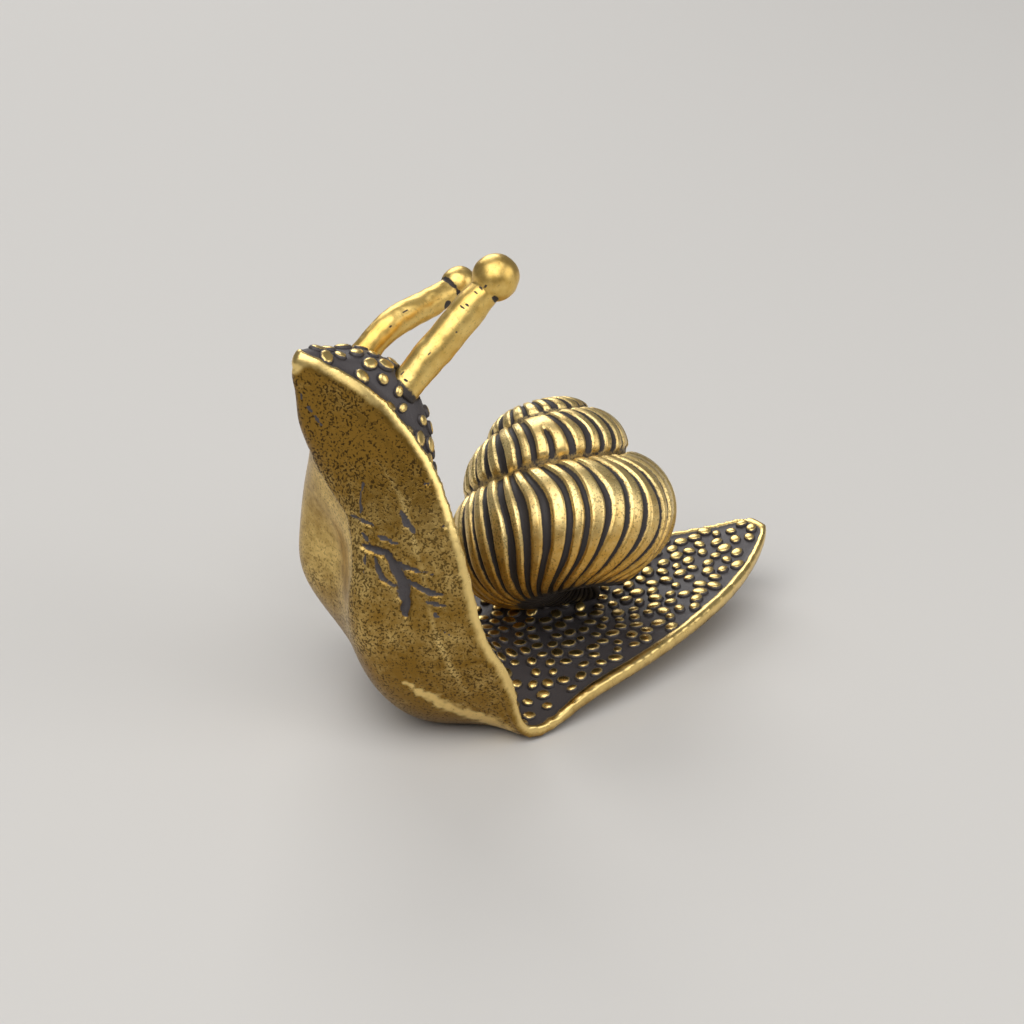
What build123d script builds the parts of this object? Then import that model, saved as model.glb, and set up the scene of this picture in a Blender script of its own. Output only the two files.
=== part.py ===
from build123d import *
import math
import os

# Cast brass snail: a bent foot with a raised head, a ribbed spiral shell and two eye stalks.
# Millimetres. The snail heads towards -X, its left side is -Y, and it rests on the plane Z = 0.
# The origin is the middle of the resting face, under the shell.

# Foot and head sizes
foot_half_width = 9.0
sole_radius = 9.0
bend_x = -3.0
tail_length = 23.3
neck_rise = 9.0
nod_radius = 20.0
rim_thickness = 0.9

# Shell sizes
shell_x = 3.27
shell_y = 0.97
shell_sink = 1.38
shell_lean = 52.0
shell_swing = 18.7
coil_radius = 3.75
tube_radius = 4.5
bore_radius = 0.2
column_radius = 0.5
apex_radius = 1.1
front_angle = 291.2
turns_to_point = 4.5
full_turns = 3
ribs_per_turn = 24
lip_ribs = 16

# Seat between shell and foot
seat_depth = 1.2
spigot_radius = 1.3
spigot_length = 1.1

# Eye stalks: both sit on the head at the same spacing
stalk_spacing = 3.8
left_stalk_radius = 1.15
left_stalk_reach = 6.51
left_stalk_rise = 6.04
left_ball_radius = 1.5
right_stalk_radius = 0.98
right_stalk_reach = 7.74
right_stalk_rise = 3.23
right_ball_radius = 1.15
stalk_splay_width = 0.6
peg_radius = 0.5
peg_length = 1.4

# Gap round every peg and spigot, and the overrun of every cut
clearance = 0.05
overrun = 2.0

# Stations of the foot, as shares of the sole radius and, for the half width, of the foot's half width:
# place, half width, rim, left lobe, keel, right lobe, back
# Along the tail the place is a share of the tail's length, from its tip to the bend.
tail_shares = (
    (0.99, 0.08, 0.53, 0.56, 0.56, 0.56, 0.43),
    (0.91, 0.26, 0.59, 0.66, 0.66, 0.66, 0.48),
    (0.75, 0.50, 0.67, 0.80, 0.80, 0.80, 0.58),
    (0.56, 0.70, 0.72, 0.96, 0.96, 0.96, 0.66),
    (0.39, 0.81, 0.78, 1.005, 1.005, 1.005, 0.72),
    (0.21, 0.91, 0.82, 1.005, 1.005, 1.005, 0.73),
    (0.00, 0.98, 0.91, 1.005, 1.005, 1.005, 0.72),
)
# Round the bend the place is a turn in degrees, from under the bend to level with it.
bend_shares = (
    (78.0, 1.00, 0.99, 1.02, 1.02, 1.02, 0.68),
    (65.0, 1.00, 1.05, 1.10, 1.10, 1.07, 0.60),
    (48.0, 1.00, 0.88, 1.29, 1.24, 1.10, 0.56),
    (22.0, 1.00, 0.80, 1.41, 1.32, 1.20, 0.56),
    (0.0, 0.96, 0.87, 1.48, 1.37, 1.40, 0.59),
)
# Up the neck the place is a share of the neck's rise.
neck_shares = (
    (0.39, 0.88, 0.92, 1.47, 1.34, 1.44, 0.64),
    (0.78, 0.77, 0.97, 1.43, 1.44, 1.43, 0.71),
)
# Over the head the place is a turn in degrees about the nod centre, which is ahead of the neck.
head_shares = (
    (7.0, 0.61, 1.02, 1.42, 1.51, 1.42, 0.74),
    (20.5, 0.49, 1.08, 1.42, 1.52, 1.42, 0.67),
    (36.0, 0.33, 1.12, 1.40, 1.48, 1.40, 0.81),
    (46.0, 0.19, 1.16, 1.33, 1.38, 1.33, 0.99),
    (53.0, 0.10, 1.18, 1.27, 1.29, 1.27, 1.04),
    (57.5, 0.04, 1.19, 1.22, 1.22, 1.22, 1.08),
)
# Where the sole's lobes and brows and the back's shoulders stand, as shares of the half width
lobe_share = 0.38
brow_share = 0.80
brow_rise_share = 0.45
foot_shoulder_share = 0.50
head_shoulder_share = 0.70
foot_shoulder_rise_share = 0.35
head_shoulder_rise_share = 0.55

# How fast the whorls shrink and climb towards the apex, and how the body whorl tucks in towards its lip.
# The spire's rise, the grooves between ribs and the column's ends are shares of the tube's radius.
turn_power = 0.8
shrink_power = 1.1
climb_power = 2.74
tuck_share = 0.13
spire_rise_share = 1.86
groove_share = 0.09
column_drop_share = 0.65
column_rise_share = 1.8

# The shell's seat: its height as a share of the sole radius, its raised pad as shares of the shell's
# footprint, and the spot face round it as a share of the pad
seat_height_share = 0.31
pad_length_share = 1.20
pad_width_share = 0.95
spot_share = 1.45

# Stalk seats on the head: turn about the nod centre, and depth as a share of the sole radius
left_seat_turn = 24.0
left_seat_share = 0.81
right_seat_turn = 29.0
right_seat_share = 0.83
left_route_shares = ((0.0, 0.0), (0.5, 0.5), (1.0, 1.0))
right_route_shares = ((0.0, 0.0), (0.14, 0.29), (0.33, 0.55), (0.57, 0.70), (0.80, 0.82), (1.0, 1.0))
# Along each stalk: place, and radius as a share of the stalk's radius
girth_shares = ((0.0, 0.90), (0.25, 0.96), (0.5, 1.0), (0.75, 0.92), (0.92, 0.78))

nod_x = bend_x - nod_radius
nod_z = sole_radius + neck_rise


def tail_plane(place):
    """Section plane across the tail, looking forward, with its Y towards the sole."""
    return Plane((bend_x + place * tail_length, 0, sole_radius), x_dir=(0, 1, 0), z_dir=(-1, 0, 0))


def bend_plane(turn):
    """Section plane through the bend's centre."""
    angle = math.radians(turn)
    return Plane((bend_x, 0, sole_radius), x_dir=(0, 1, 0), z_dir=(-math.sin(angle), 0, math.cos(angle)))


def neck_plane(place):
    """Level section plane across the neck."""
    return Plane((bend_x, 0, sole_radius + place * neck_rise), x_dir=(0, 1, 0), z_dir=(0, 0, 1))


def head_plane(turn):
    """Section plane over the head, turned about the nod centre."""
    angle = math.radians(turn)
    origin = (nod_x + nod_radius * math.cos(angle), 0, nod_z + nod_radius * math.sin(angle))
    return Plane(origin, x_dir=(0, 1, 0), z_dir=(-math.sin(angle), 0, math.cos(angle)))


def foot_section(plane, shares, shoulder_share, shoulder_rise_share):
    """One section of the foot: lobed sole, two rims and a humped back."""
    half_width = shares[1] * foot_half_width
    rim, left_lobe, keel, right_lobe, back = [share * sole_radius for share in shares[2:]]
    rim_top = rim - rim_thickness
    lobe = lobe_share * half_width
    brow = brow_share * half_width
    shoulder = shoulder_share * half_width
    shoulder_rise = rim_top + shoulder_rise_share * (back - rim_top)
    left_brow = rim + brow_rise_share * (left_lobe - rim)
    right_brow = rim + brow_rise_share * (right_lobe - rim)
    with BuildSketch(plane) as section:
        with BuildLine():
            Spline(
                (-half_width, rim),
                (-brow, left_brow),
                (-lobe, left_lobe),
                (0, keel),
                (lobe, right_lobe),
                (brow, right_brow),
                (half_width, rim),
            )
            Line((half_width, rim), (half_width, rim_top))
            Spline(
                (half_width, rim_top),
                ((half_width + shoulder) / 2, rim_top),
                (shoulder, shoulder_rise),
                (0, back),
                (-shoulder, shoulder_rise),
                (-(half_width + shoulder) / 2, rim_top),
                (-half_width, rim_top),
            )
            Line((-half_width, rim_top), (-half_width, rim))
        make_face()
    return section.sketch


def seat_on_head(turn, depth_share, side):
    """Point on the head, at a turn about the nod centre and a depth from the station origins."""
    angle = math.radians(turn)
    reach = nod_radius - depth_share * sole_radius
    return Vector(nod_x + reach * math.cos(angle), side * stalk_spacing / 2, nod_z + reach * math.sin(angle))


def stalk_line(base, reach, rise, side, route_shares):
    """Centre line of a stalk, from its seat to the middle of its ball."""
    points = []
    for along, up in route_shares:
        points.append(base + Vector(reach * along, side * stalk_splay_width * along, rise * up))
    with BuildLine() as line:
        Spline(*points)
    return line.edge()


def across(line, place):
    """Plane square to a stalk's centre line."""
    return Plane(line @ place, x_dir=(0, 1, 0), z_dir=line % place)


def disc(plane, radius):
    """Round section on a plane."""
    with BuildSketch(plane) as section:
        Circle(radius)
    return section.sketch


left_base = seat_on_head(left_seat_turn, left_seat_share, -1)
right_base = seat_on_head(right_seat_turn, right_seat_share, 1)
left_line = stalk_line(left_base, left_stalk_reach, left_stalk_rise, -1, left_route_shares)
right_line = stalk_line(right_base, right_stalk_reach, right_stalk_rise, 1, right_route_shares)

# Shell axis, leaning to the snail's right, and the seat under the lowest point of the body whorl
lean = math.radians(shell_lean)
swing = math.radians(shell_swing)
shell_axis = Vector(math.sin(swing) * math.cos(lean), math.cos(swing) * math.cos(lean), math.sin(lean))
downhill = Vector(math.sin(swing) * math.sin(lean), math.cos(swing) * math.sin(lean), -math.cos(lean))
spire_rise = spire_rise_share * tube_radius
seat_height = seat_height_share * sole_radius
shell_z = seat_height + tube_radius - shell_sink + coil_radius * math.cos(lean)
shell_frame = Plane((shell_x, shell_y, shell_z), x_dir=(1, 0, 0), z_dir=shell_axis)
low_point = shell_frame.origin + downhill * coil_radius
seat_plane = Plane((low_point.X, low_point.Y, seat_height))
footprint = math.sqrt(tube_radius**2 - (tube_radius - shell_sink) ** 2)
pad_length = pad_length_share * footprint
pad_width = pad_width_share * footprint

# Foot and head: one loft from the tail's tip to the head's tip, cut flat where it rests
foot_shoulder_shares = (foot_shoulder_share, foot_shoulder_rise_share)
head_shoulder_shares = (head_shoulder_share, head_shoulder_rise_share)
sections = []
for table, plane_at, shoulder_shares in (
    (tail_shares, tail_plane, foot_shoulder_shares),
    (bend_shares, bend_plane, foot_shoulder_shares),
    (neck_shares, neck_plane, foot_shoulder_shares),
    (head_shares, head_plane, head_shoulder_shares),
):
    for station_shares in table:
        sections.append(foot_section(plane_at(station_shares[0]), station_shares, *shoulder_shares))

with BuildPart() as foot_and_head:
    loft(sections)
    split(bisect_by=Plane.XY, keep=Keep.TOP)
    # Spot face and raised pad for the shell, with a socket for its spigot
    with BuildSketch(seat_plane):
        Ellipse(spot_share * pad_length, spot_share * pad_width)
    extrude(amount=overrun, mode=Mode.SUBTRACT)
    with BuildSketch(seat_plane):
        Ellipse(pad_length, pad_width)
    extrude(amount=-seat_depth)
    spigot_socket = disc(seat_plane, spigot_radius + clearance)
    extrude(spigot_socket, amount=-spigot_length - clearance, mode=Mode.SUBTRACT)
    # Spot faces and sockets for the stalks
    for line, radius in ((left_line, left_stalk_radius), (right_line, right_stalk_radius)):
        base_plane = across(line, 0)
        base_radius = girth_shares[0][1] * radius
        extrude(disc(base_plane, base_radius + clearance), amount=overrun, mode=Mode.SUBTRACT)
        extrude(disc(base_plane, peg_radius + clearance), amount=-peg_length - clearance, mode=Mode.SUBTRACT)
foot_and_head.part.label = "foot_and_head"

# Shell: ribbed whorls wound right-handed on the leaning axis, each from one seam to the next.
# A station is half a rib's step: even ones lie in a groove, odd ones on a rib.
stations_per_turn = 2 * ribs_per_turn
first_station = -2 * lip_ribs
last_station = full_turns * stations_per_turn


def whorl_sizes(station):
    """Coil radius, tube radius and height along the axis at a station, counted on from the front."""
    turn = station / stations_per_turn
    girth = 1 if station % 2 else 1 - groove_share
    if turn < 0:
        tuck = 1 - tuck_share * turn**2
        return coil_radius * tuck, tube_radius * tuck * girth, 0
    left = 1 - (turn / turns_to_point) ** turn_power
    shrink = left**shrink_power
    return coil_radius * shrink, tube_radius * shrink * girth, spire_rise * (1 - left**climb_power)


def outline_height(station, radius, side):
    """Height of a whorl's outline at a radius from the axis, on its upper (1) or lower (-1) side."""
    coil, tube, height = whorl_sizes(station)
    return height + side * math.sqrt(tube**2 - (coil - radius) ** 2)


def seam(station):
    """Where a whorl meets the next one up: the outer crossing of their outlines, and a point on the bore."""
    coil, tube, height = whorl_sizes(station)
    next_coil, next_tube, next_height = whorl_sizes(station + stations_per_turn)
    step = math.hypot(next_coil - coil, next_height - height)
    out = (next_coil - coil) / step
    up = (next_height - height) / step
    along = (tube**2 - next_tube**2 + step**2) / (2 * step)
    aside = math.sqrt(tube**2 - along**2)
    crossing = (coil + along * out + aside * up, height + along * up - aside * out)
    top = outline_height(station, bore_radius, 1)
    bottom = outline_height(station + stations_per_turn, bore_radius, -1)
    return crossing, (bore_radius, (top + bottom) / 2)


def closed_end(station, side):
    """In place of a seam, where no whorl lies above (1) or below (-1): the outline's end at the bore."""
    mouth_radius = bore_radius + min(bore_radius, whorl_sizes(station)[0] - bore_radius)
    mouth = (mouth_radius, outline_height(station, mouth_radius, side))
    return mouth, (bore_radius, outline_height(station, bore_radius, side))


def whorl_section(station):
    """Section of a whorl on a plane through the axis, from the bore out to the tube's round outline."""
    angle = math.radians(front_angle + 360 * station / stations_per_turn)
    outward = shell_frame.x_dir * math.cos(angle) + shell_frame.y_dir * math.sin(angle)
    coil, tube, height = whorl_sizes(station)
    has_lower = station - stations_per_turn >= first_station
    has_upper = station + stations_per_turn <= last_station
    low, low_bore = seam(station - stations_per_turn) if has_lower else closed_end(station, -1)
    high, high_bore = seam(station) if has_upper else closed_end(station, 1)
    low_angle = math.atan2(low[1] - height, low[0] - coil)
    high_angle = math.atan2(high[1] - height, high[0] - coil)
    middle = (low_angle + high_angle) / 2
    with BuildSketch(Plane(shell_frame.origin, x_dir=outward, z_dir=outward.cross(shell_axis))) as section:
        with BuildLine():
            ThreePointArc(low, (coil + tube * math.cos(middle), height + tube * math.sin(middle)), high)
            Polyline(high, high_bore, low_bore, low)
        make_face()
    return section.sketch


# One loft a turn. Neighbouring whorls share the faces between them, so they are glued there.
whorls = []
for turn in range(-1, full_turns):
    start = max(first_station, turn * stations_per_turn)
    stop = (turn + 1) * stations_per_turn
    whorls.append(loft([whorl_section(station) for station in range(start, stop + 1)], ruled=True))

with BuildPart() as shell:
    add(whorls[0].fuse(*whorls[1:], glue=True))
    # Solid column in the bore, and the round apex
    column_drop = column_drop_share * tube_radius
    column_length = column_drop + column_rise_share * tube_radius
    extrude(disc(shell_frame.offset(-column_drop), column_radius), amount=column_length)
    with Locations(shell_frame.origin + shell_axis * whorl_sizes(last_station)[2]):
        Sphere(apex_radius)
    # Flat underside on the seat, and the spigot
    split(bisect_by=Plane.XY.offset(seat_height), keep=Keep.TOP)
    extrude(disc(seat_plane, spigot_radius), amount=-spigot_length)
shell.part.label = "shell"


def eye_stalk(line, radius, ball_radius):
    """Tapered stalk on its centre line, with a ball at its end and a peg under its base."""
    with BuildPart() as stalk:
        loft([disc(across(line, place), radius * girth) for place, girth in girth_shares])
        with Locations(line @ 1):
            Sphere(ball_radius)
        extrude(disc(across(line, 0), peg_radius), amount=-peg_length)
    return stalk


left_eye_stalk = eye_stalk(left_line, left_stalk_radius, left_ball_radius)
left_eye_stalk.part.label = "left_eye_stalk"
right_eye_stalk = eye_stalk(right_line, right_stalk_radius, right_ball_radius)
right_eye_stalk.part.label = "right_eye_stalk"

os.makedirs("parts", exist_ok=True)
for piece in (foot_and_head, shell, left_eye_stalk, right_eye_stalk):
    export_step(piece.part, f"parts/{piece.part.label}.step")
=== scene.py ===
import math

import bmesh
import bpy
import numpy as np
from mathutils import Matrix, Vector, noise


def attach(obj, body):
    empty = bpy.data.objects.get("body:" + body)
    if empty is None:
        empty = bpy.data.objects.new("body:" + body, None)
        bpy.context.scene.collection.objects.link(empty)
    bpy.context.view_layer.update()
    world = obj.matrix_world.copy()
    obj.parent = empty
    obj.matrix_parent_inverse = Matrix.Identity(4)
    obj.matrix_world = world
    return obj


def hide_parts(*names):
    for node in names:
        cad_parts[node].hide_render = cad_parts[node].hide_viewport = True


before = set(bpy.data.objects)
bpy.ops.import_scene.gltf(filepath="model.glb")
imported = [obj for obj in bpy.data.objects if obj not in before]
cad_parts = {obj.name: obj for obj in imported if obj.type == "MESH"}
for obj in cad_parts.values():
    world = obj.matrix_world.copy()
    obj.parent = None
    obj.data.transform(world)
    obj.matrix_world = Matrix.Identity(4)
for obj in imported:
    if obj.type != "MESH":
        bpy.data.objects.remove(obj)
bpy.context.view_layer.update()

# Sizes are millimetres times MM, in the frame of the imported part: the snail heads towards -X,
# its left side is -Y, and it rests on Z = 0.
MM = 0.001

# Foot and head, as in the solids
BEND_X = -3.0 * MM
SOLE_RADIUS = 9.0 * MM
TAIL_LENGTH = 23.3 * MM
NECK_RISE = 9.0 * MM
NOD_RADIUS = 20.0 * MM
NOD_X = BEND_X - NOD_RADIUS
NOD_Z = SOLE_RADIUS + NECK_RISE

# Foot surface
SKIN_STEP = 0.18 * MM
HEAD_RIM_WIDTH = 0.55 * MM
TAIL_RIM_WIDTH = 0.85 * MM
RIM_STEP = 0.16 * MM
BEAD_WIDTH = 0.42 * MM
BEAD_GROOVE = 0.09 * MM
LINE_WIDTH = 1.35 * MM
LINE_HEIGHT = 0.06 * MM
NODULE_SPACING = 1.0 * MM
NODULE_LENGTH = 0.55 * MM
NODULE_WIDTH = 0.44 * MM
NODULE_HEIGHT = 0.24 * MM
NODULE_MARGIN = 0.28 * MM
NODULE_INSET = 0.1 * MM
NODULE_DENSITY = 1.2e7
NODULE_SEGMENTS = 10
NODULE_RINGS = 6
NODULE_FLAT_LEVEL = 0.7
NODULE_SHINE = 0.55
NODULE_RUB = (0.25, 0.95)
NODULE_SIZES = (0.75, 1.2)
NODULE_HEIGHTS = (0.75, 1.15)
NODULE_SEED = 11
# Making of the skin: points closer than the weld become one, and the rounds are of softening
SKIN_WELD = 0.002 * MM
SKIN_ROUNDS = 8
TIP_ROUNDS = 28
# Distances between which a feature comes in or fades: back to the head's tip, up or down from the rim,
# in from the edge, and across the fold
TIP_SOFT = (2.2 * MM, 0.4 * MM)
TIP_BRIGHT = (1.3 * MM, 0.5 * MM)
BACK_RISE = (0.15 * MM, 0.45 * MM)
BACK_INSET = (0.5 * MM, 0.8 * MM)
SOLE_DROP = (0.1 * MM, 0.4 * MM)
RIM_SOFT = 0.18 * MM
RIM_BRIGHT = 0.15 * MM
FOLD_DROP = (-0.05 * MM, 0.2 * MM)
FOLD_RUN_OUT = (0.3 * MM, 2.5 * MM)
FOLD_BEYOND = 0.4 * MM
# How squarely a point faces away from the sole, 0 to 1, where the back comes in
BACK_FACING = (0.2, 0.6)
# Ways along the foot, from the tail's end, between which a feature comes in or fades
TAIL_FADE = (21 * MM, 28 * MM)
LINE_START = (30 * MM, 36 * MM)
LINE_END = (47 * MM, 52 * MM)
MIDDLE_SHEEN_START = (34 * MM, 38 * MM)
UPPER_START = (43 * MM, 49 * MM)
# Half widths of the lines on the sole, the lumps that make their edges ragged, and the stretch and
# the band in which the rim's place is read
BEAD_SPREAD = 0.16 * MM
LINE_SPREAD = 0.13 * MM
FOLD_SPREAD = 0.13 * MM
RAGGED_LUMP = 0.45 * MM
RAGGED_REACH = 0.12 * MM
RIM_STRETCH = 0.5 * MM
RIM_BAND = 0.15 * MM
# Softness of a scar's cut and of its tarnish, as shares of its half width
SCAR_CUT = (0.2, 1.5)
SCAR_DARK = (0.35, 1.35)
# Scars on the sole: points as way along the foot and place across it, half width and depth, all in mm
SCARS = (
    (((44.6, -2.5), (44.45, -3.45), (44.25, -4.2)), 0.17, 0.14),
    (((43.7, -3.6), (43.05, -4.15)), 0.10, 0.12),
    (((43.65, -4.4), (43.3, -5.3)), 0.12, 0.10),
    (((42.95, -3.7), (42.75, -4.5), (42.6, -5.2)), 0.25, 0.32),
    (((42.75, -4.9), (41.85, -5.4), (41.0, -5.75), (40.0, -6.05), (38.6, -6.2)), 0.26, 0.36),
    (((42.4, -4.0), (41.0, -4.1)), 0.09, 0.14),
    (((42.3, -4.5), (41.1, -5.0), (40.7, -5.45), (40.4, -5.85)), 0.17, 0.22),
    (((42.2, -5.35), (41.75, -5.9), (41.35, -6.85)), 0.15, 0.20),
    (((40.9, -6.1), (40.4, -6.6), (40.1, -7.1), (39.95, -7.6)), 0.18, 0.20),
    (((39.65, -6.75), (39.2, -7.75)), 0.12, 0.15),
    (((39.0, -7.05), (38.55, -7.4)), 0.06, 0.08),
    (((38.1, -7.15), (37.3, -7.8)), 0.06, 0.08),
    (((45.45, -5.0), (44.75, -5.45), (43.9, -5.9)), 0.15, 0.12),
    (((48.0, -3.2), (45.9, -3.1), (44.9, -3.3)), 0.07, 0.10),
    (((63.5, -0.35), (62.2, -0.3)), 0.07, 0.08),
    (((61.2, -0.6), (59.4, -1.0), (57.3, -1.3)), 0.06, 0.08),
    (((44.4, -6.9), (44.3, -6.95)), 0.15, 0.20),
    (((47.35, -5.7), (47.25, -5.8)), 0.13, 0.20),
)
# Fold that runs down the sole, with the part beyond it set a little lower. It fades in by one share of
# its length and out from another. Its points are in mm, as a scar's are.
FOLD_FADE_IN = 0.1
FOLD_FADE_OUT = 0.75
FOLD = (
    (52.7, 0.25), (49.7, 0.15), (46.35, -0.45), (45.2, -1.4), (44.5, -2.3), (43.3, -2.75),
    (42.4, -2.95), (40.85, -3.2), (39.3, -2.9), (36.8, -2.25), (35.1, -2.4),
)
FOLD_STEP = 0.16 * MM
# Edge low on the sole painted bright as light falling on it from below, with its half width at the start
# and what it gains by the end
LIT_EDGE_HALF = 0.2 * MM
LIT_EDGE_GAIN = 0.5 * MM
LIT_EDGE_SOFT = (0.2, 1.5)
LIT_EDGE_LINE = ((34.4, -5.6), (33.0, -6.2), (31.4, -6.7), (29.8, -7.2), (28.0, -7.7))

# Shell, as in the solids
SHELL_X = 3.27 * MM
SHELL_Y = 0.97 * MM
SHELL_Z = 8.219 * MM
SHELL_LEAN = math.radians(52.0)
SHELL_SWING = math.radians(18.7)
COIL_RADIUS = 3.75 * MM
TUBE_RADIUS = 4.5 * MM
APEX_RADIUS = 1.1 * MM
SPIRE_RISE_SHARE = 1.86
FRONT_ANGLE = math.radians(291.2)
TURNS_TO_POINT = 4.5
TURN_POWER = 0.8
SHRINK_POWER = 1.1
CLIMB_POWER = 2.74
TUCK_SHARE = 0.13
FIRST_TURN = -0.667
LAST_TURN = 3.0
# Shell ribs: their number in the first turn, how many fewer each turn has, their sweep below and above
# the middle, the groove that forks a rib, and the grid that makes them
RIBS_PER_TURN = 36
RIBS_LOST_PER_TURN = 8
RIB_SWEEP_BELOW = 0.035
RIB_SWEEP_ABOVE = 0.03
GROOVE_SHARE = 0.07
FORKED_GROOVE = 28
STEPS_PER_RIB = 10
STEPS_AROUND = 62
ARC_HALF = math.radians(134)
# Rib shapes, as shares of a rib's spacing: the least half width of a groove and what chance adds, how far
# a groove wanders, its soft edges, the waver of a rib and how quickly it changes, how far past closed the
# forked groove is above its start, and the fall of a rib's crown
GROOVE_HALF = 0.15
GROOVE_HALF_SPREAD = 0.10
GROOVE_WANDER = 0.16
GROOVE_EDGE = (-0.05, 0.06)
RIB_WAVER = 0.7
WAVER_PER_RIB = 0.45
WAVER_PER_ANGLE = 0.8
FORK_CLOSING = 0.2
CROWN_FALL = 0.2
# Angles round the tube where the forked groove starts, where painted shade darkens the underside, and
# where the top is painted lighter as if lit from above
FORK_START = (0.4, 0.7)
UNDERSIDE_PAINTED_SHADE = (-1.65, -1.2)
TOP_PAINTED_LIGHT = (-1.2, 0.4)
# Turns over which the tube's ends are rounded, the closed lip is painted dark as shade and the ribs near
# the apex wear away, and the share of them that goes
LIP_ROUND = 0.03
POINT_ROUND = 0.06
LIP_PAINTED_SHADE = (0.015, 0.03)
WORN_TURNS = (2.45, 2.85)
WORN_SHARE = 0.8
# Seam between the turns, and the raggedness that the ribs' wavering and their ends give it
SEAM_REACH = (0.05 * MM, 0.40 * MM)
SEAM_WAVER = 0.5 * MM
SEAM_RAGGED = 0.3 * MM
SEAM_RUB = 0.4
APEX_RUB = 0.75
APEX_SEGMENTS = 24
APEX_RINGS = 12
SHELL_PITS = 0.5
SHELL_WELD = 0.001 * MM
# The shell's outermost points stay just inside the solid's
SHELL_GIRTH = 0.995

# Eye stalks, as in the solids
STALK_SPACING = 3.8 * MM
STALK_SPLAY = 0.6 * MM
STALK_ROOT = 0.15 * MM
STALK_RINGS = 150
STALK_SIDES = 48
STALK_PITS = 0.25
STALK_WELD = 0.001 * MM
# Girth along a stalk: share of its length, then share of its radius
STALK_TAPER_SHARES = (
    (0, 1.06), (0.06, 0.98), (0.14, 0.95), (0.3, 0.99), (0.5, 1.02), (0.75, 0.98), (0.9, 0.86), (1, 0.80),
)
# Dents of a stalk: the size of their lumps, then their depth, and how far they lie under the solid's surface
DENTS = ((1.3 * MM, 0.07 * MM), (0.5 * MM, 0.025 * MM))
DENT_SINK = 0.06 * MM
# They fade out where the stalk is this thin, and this near the end of its ball
DENT_GIRTH = 0.4 * MM
DENT_END = 1.0 * MM
# Tarnish on a stalk: the crease under its ball, and the dark ring at its root with ragged patches
CREASE_REACH = (0.05 * MM, 0.32 * MM)
CREASE_LUMP = 0.6 * MM
ROOT_REACH = (0.15 * MM, 0.9 * MM)
PATCH_LUMP = 0.9 * MM
PATCH_REACH = 0.5 * MM
LEFT_STALK = dict(
    side=-1, turn=24.0, depth=0.81, radius=1.15 * MM, reach=6.51 * MM, rise=6.04 * MM, ball=1.5 * MM,
    route=((0.0, 0.0), (0.5, 0.5), (1.0, 1.0)),
    # Nicks: share of the length, degrees round the stalk, half length and half width
    nicks=(
        (0.12, 15, 0.20, 0.12), (0.10, 42, 0.10, 0.24), (0.33, 48, 0.30, 0.09), (0.70, 30, 0.08, 0.26),
        (0.73, 38, 0.08, 0.22), (0.83, 32, 0.08, 0.24), (0.55, 70, 0.14, 0.08), (0.90, 45, 0.12, 0.10),
    ),
)
RIGHT_STALK = dict(
    side=1, turn=29.0, depth=0.83, radius=0.98 * MM, reach=7.74 * MM, rise=3.23 * MM, ball=1.15 * MM,
    route=((0.0, 0.0), (0.14, 0.29), (0.33, 0.55), (0.57, 0.70), (0.80, 0.82), (1.0, 1.0)),
    nicks=((0.45, 45, 0.25, 0.08), (0.80, 110, 0.35, 0.45), (0.30, 60, 0.12, 0.08)),
)

# Aged metal: lumps to the metre of its three mottles, and how strongly its relief shows
CLOUDS_SCALE = 260
GRAIN_SCALE = 1700
SPECKS_SCALE = 6200
RELIEF_STRENGTH = 0.5

# Floor, light and camera, in metres and watts
FLOOR_HALF = 4.0
FLOOR_COLOUR = (0.62, 0.60, 0.57, 1)
FLOOR_ROUGHNESS = 0.8
WORLD_COLOUR = (0.55, 0.55, 0.56, 1)
WORLD_STRENGTH = 0.35
LAMP_AIM = (0, 0, 12 * MM)
# Lamps: name, place, size and power
LAMPS = (
    ("key", (-0.22, -0.16, 0.48), 0.62, 2.8),
    ("fill", (0.28, -0.42, 0.26), 0.40, 0.8),
    ("rim", (0.15, 0.45, 0.35), 0.35, 1.2),
)
CAMERA_LENS = 77.34
CAMERA_SENSOR = 36.0
CAMERA_NEAR = 0.01
CAMERA_TARGET = Vector((0.4, 3.3, 9.75)) * MM
CAMERA_DISTANCE = 150 * MM
CAMERA_AZIMUTH = math.radians(-35)
CAMERA_ELEVATION = math.radians(25)


# Node trees: a Term is one value in a tree, and arithmetic on Terms adds Math nodes.
def feed(tree, value, socket):
    """Sets a socket to a number, or links it to a Term or another socket."""
    if isinstance(value, Term):
        tree.links.new(value.socket, socket)
    elif isinstance(value, bpy.types.NodeSocket):
        tree.links.new(value, socket)
    else:
        socket.default_value = value


def add_node(tree, kind, inputs=(), **settings):
    """Adds a node, sets its properties and feeds its inputs, which are given by name or number."""
    node = tree.nodes.new(kind)
    for name, value in settings.items():
        setattr(node, name, value)
    for key, value in dict(inputs).items():
        feed(tree, value, node.inputs[key])
    return node


class Term:
    """One value in a node tree."""

    def __init__(self, tree, socket):
        self.tree = tree
        self.socket = socket

    def math(self, operation, *others):
        return calculate(self.tree, operation, self, *others)

    def __add__(self, other):
        return self.math("ADD", other)

    def __radd__(self, other):
        return self.math("ADD", other)

    def __sub__(self, other):
        return self.math("SUBTRACT", other)

    def __rsub__(self, other):
        return calculate(self.tree, "SUBTRACT", other, self)

    def __mul__(self, other):
        return self.math("MULTIPLY", other)

    def __rmul__(self, other):
        return self.math("MULTIPLY", other)

    def __truediv__(self, other):
        return self.math("DIVIDE", other)

    def __pow__(self, other):
        return self.math("POWER", other)

    def ramp(self, low, high):
        """Rises smoothly from 0 at low to 1 at high."""
        inputs = {0: self, 1: low, 2: high}
        node = add_node(self.tree, "ShaderNodeMapRange", inputs, interpolation_type="SMOOTHSTEP")
        return Term(self.tree, node.outputs[0])


def calculate(tree, operation, *values):
    """Adds one Math node, on Terms or numbers."""
    node = add_node(tree, "ShaderNodeMath", enumerate(values), operation=operation)
    return Term(tree, node.outputs[0])


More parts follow.
